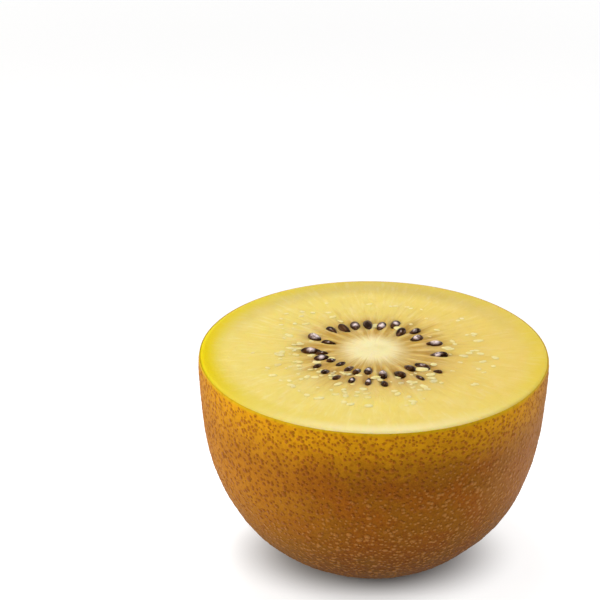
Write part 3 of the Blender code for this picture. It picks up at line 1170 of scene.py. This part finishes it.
class KIWI_OT_scar(bpy.types.Operator):
    """Spins the corky stub in the dimple at the stem end, and cracks it from the middle out"""

    bl_idname = "kiwi.scar"
    bl_label = "Stem scar"

    def execute(self, context):
        fruit = context.scene.kiwi_fruit
        scar = spin_profile("stem_scar", scar_profile(fruit), SCAR_COLUMNS, fruit.depth_share)
        subdivide(scar, 1)
        for vert in scar.data.vertices:
            radius, angle = polar(fruit, vert.co)
            if vert.co.z < fruit.scar_depth:
                wander = 2.0 * noise.noise(vert.co / (1.2 * MM))
                crack = 0.5 + 0.5 * math.cos(SCAR_CRACKS * angle + wander)
                vert.co.z += SCAR_CRACK_DEPTH * crack * smooth_step(0.0, 1.0 * MM, radius)
        scar.data.shade_smooth()
        finish_piece(scar, scar_material())
        return {"FINISHED"}


# The stage.

FLOOR_WIDTH = 6.0
FLOOR_LIGHTER = (0.52, 0.52, 0.51)
# The glow's gap round the fruit paints a soft contact shadow, stretched across and set a little forward.
GLOW_FROM = 7.2 * MM
GLOW_TO = 17.0 * MM
GLOW_NARROWING = 0.70
GLOW_MIDDLE = (0.0, -1.0 * MM, 0.0)
GLOW_NEAR = (30.0 * MM, 90.0 * MM)
GLOW_FAR = (250.0 * MM, 550.0 * MM)
GLOW_DIP = 0.35
LIGHTS = (
    # name, place, size across and up, power, colour
    ("top_light", (-0.08, 0.10, 0.62), (0.22, 0.22), 1.82, (1.0, 1.0, 1.0)),
    ("left_light", (-0.55, -0.08, 0.20), (0.44, 0.24), 2.2, (1.0, 0.97, 0.92)),
    ("right_light", (0.50, 0.20, 0.20), (0.34, 0.24), 1.1, (1.0, 0.98, 0.98)),
)
LIGHT_TARGET = (0.0, 0.0, 0.02)
WORLD_HORIZON = 0.92
WORLD_OVERHEAD = 0.34
WORLD_FRONT = 0.14


def floor_material(stage):
    """Grey with a painted glow that makes it white, which stops where the fruit stands to paint its
    contact shadow, and is less a little way off.
    """
    material, tree, shader = new_material("floor")
    place = object_place(tree)
    tone = scaled(tree, grain(tree, place, 0.35), 0.04)
    colour = blend_colour(tree, tone, stage.floor_colour, FLOOR_LIGHTER)
    shifted = vector_maths(tree, "SUBTRACT", place, GLOW_MIDDLE)
    distance = length_of(tree, vector_maths(tree, "MULTIPLY", shifted, (GLOW_NARROWING, 1.0, 1.0)))
    # Painted contact shadow: no glow close round the fruit.
    near = share_between(tree, distance, GLOW_FROM, GLOW_TO)
    beyond = share_between(tree, distance, *GLOW_NEAR)
    dip = maths(tree, "MULTIPLY", beyond, share_between(tree, distance, GLOW_FAR[1], GLOW_FAR[0]))
    glow = maths(tree, "SUBTRACT", near, scaled(tree, dip, GLOW_DIP))
    glow = scaled(tree, glow, stage.floor_glow)
    wire(tree, shader, Base_Color=colour, Emission_Strength=glow)
    shader.inputs["Emission Color"].default_value = (1.0, 1.0, 1.0, 1.0)
    shader.inputs["Roughness"].default_value = 0.7
    shader.inputs["Specular IOR Level"].default_value = 0.2
    return material


def add_light(name, place, size, power, colour):
    data = bpy.data.lights.new(name, "AREA")
    data.shape = "RECTANGLE"
    data.size, data.size_y = size
    data.energy = power
    data.color = colour
    light = bpy.data.objects.new(name, data)
    light.location = place
    aim = Vector(LIGHT_TARGET) - light.location
    light.rotation_euler = aim.to_track_quat("-Z", "Y").to_euler()
    bpy.context.scene.collection.objects.link(light)


def studio_world():
    """Pale surroundings: white along the horizon, dimmer overhead, and dimmest over the front."""
    world = bpy.data.worlds.new("studio")
    world.use_nodes = True
    tree = world.node_tree
    _, depth, level = axes(tree, object_place(tree))
    back = share_between(tree, depth, -0.6, 0.3)
    overhead = scaled(tree, back, WORLD_OVERHEAD - WORLD_FRONT, WORLD_FRONT)
    horizon = share_between(tree, maths(tree, "ABSOLUTE", level), 0.32, 0.17)
    light = maths(tree, "MAXIMUM", scaled(tree, horizon, WORLD_HORIZON), overhead)
    background = tree.nodes["Background"]
    background.inputs["Color"].default_value = (1.0, 1.0, 1.0, 1.0)
    tree.links.new(light, background.inputs["Strength"])
    return world


def add_camera(fruit, stage):
    down = stage.camera_elevation
    forward = Vector((0.0, math.cos(down), -math.sin(down)))
    upward = Vector((0.0, math.sin(down), math.cos(down)))
    data = bpy.data.cameras.new("camera")
    data.lens = stage.lens
    data.sensor_width = 36.0
    data.clip_start = 10 * MM
    camera = bpy.data.objects.new("camera", data)
    camera.location = Vector((0.0, 0.0, fruit.height)) - forward * stage.camera_distance
    camera.location += upward * stage.camera_above
    camera.location.x -= stage.camera_left
    camera.rotation_euler = (0.5 * math.pi - down, 0.0, 0.0)
    bpy.context.scene.collection.objects.link(camera)
    bpy.context.scene.camera = camera


class KIWI_OT_stage(bpy.types.Operator):
    """Adds the pale floor, the soft lights, the pale surroundings and the camera"""

    bl_idname = "kiwi.stage"
    bl_label = "Stage"

    def execute(self, context):
        stage = context.scene.kiwi_stage
        deselect_all()
        bpy.ops.mesh.primitive_plane_add(size=FLOOR_WIDTH)
        floor = bpy.context.object
        floor.name = "floor"
        floor.data.materials.append(floor_material(stage))
        for light in LIGHTS:
            add_light(*light)
        context.scene.world = studio_world()
        context.scene.view_settings.view_transform = "Standard"
        add_camera(context.scene.kiwi_fruit, stage)
        return {"FINISHED"}


class KIWI_PT_panel(bpy.types.Panel):
    """Lists the pieces and the sizes and colours that they are made from"""

    bl_idname = "KIWI_PT_panel"
    bl_label = "Golden kiwi half"
    bl_space_type = "VIEW_3D"
    bl_region_type = "UI"
    bl_category = "Kiwi"

    def draw(self, context):
        for operator in OPERATORS:
            self.layout.operator(operator.bl_idname)
        for name in PROPERTIES:
            box = self.layout.box()
            box.label(text=name.replace("kiwi_", "").capitalize())
            group = getattr(context.scene, name)
            for key in group.bl_rna.properties.keys():
                if key not in {"rna_type", "name"}:
                    box.prop(group, key)


PROPERTIES = {
    "kiwi_fruit": KIWI_PG_fruit,
    "kiwi_skin": KIWI_PG_skin,
    "kiwi_flesh": KIWI_PG_flesh,
    "kiwi_seeds": KIWI_PG_seeds,
    "kiwi_stage": KIWI_PG_stage,
}
OPERATORS = (
    KIWI_OT_skin,
    KIWI_OT_dots,
    KIWI_OT_flesh,
    KIWI_OT_seeds,
    KIWI_OT_beads,
    KIWI_OT_scar,
    KIWI_OT_stage,
)


def register():
    for kind in (*PROPERTIES.values(), *OPERATORS, KIWI_PT_panel):
        bpy.utils.register_class(kind)
    for name, kind in PROPERTIES.items():
        setattr(bpy.types.Scene, name, PointerProperty(type=kind))


def unregister():
    for name in PROPERTIES:
        delattr(bpy.types.Scene, name)
    for kind in (KIWI_PT_panel, *OPERATORS, *PROPERTIES.values()):
        bpy.utils.unregister_class(kind)


def main():
    register()
    bpy.ops.kiwi.skin()
    bpy.ops.kiwi.dots()
    bpy.ops.kiwi.flesh()
    bpy.ops.kiwi.seeds()
    bpy.ops.kiwi.beads()
    bpy.ops.kiwi.scar()
    bpy.ops.kiwi.stage()


if __name__ == "__main__":
    main()
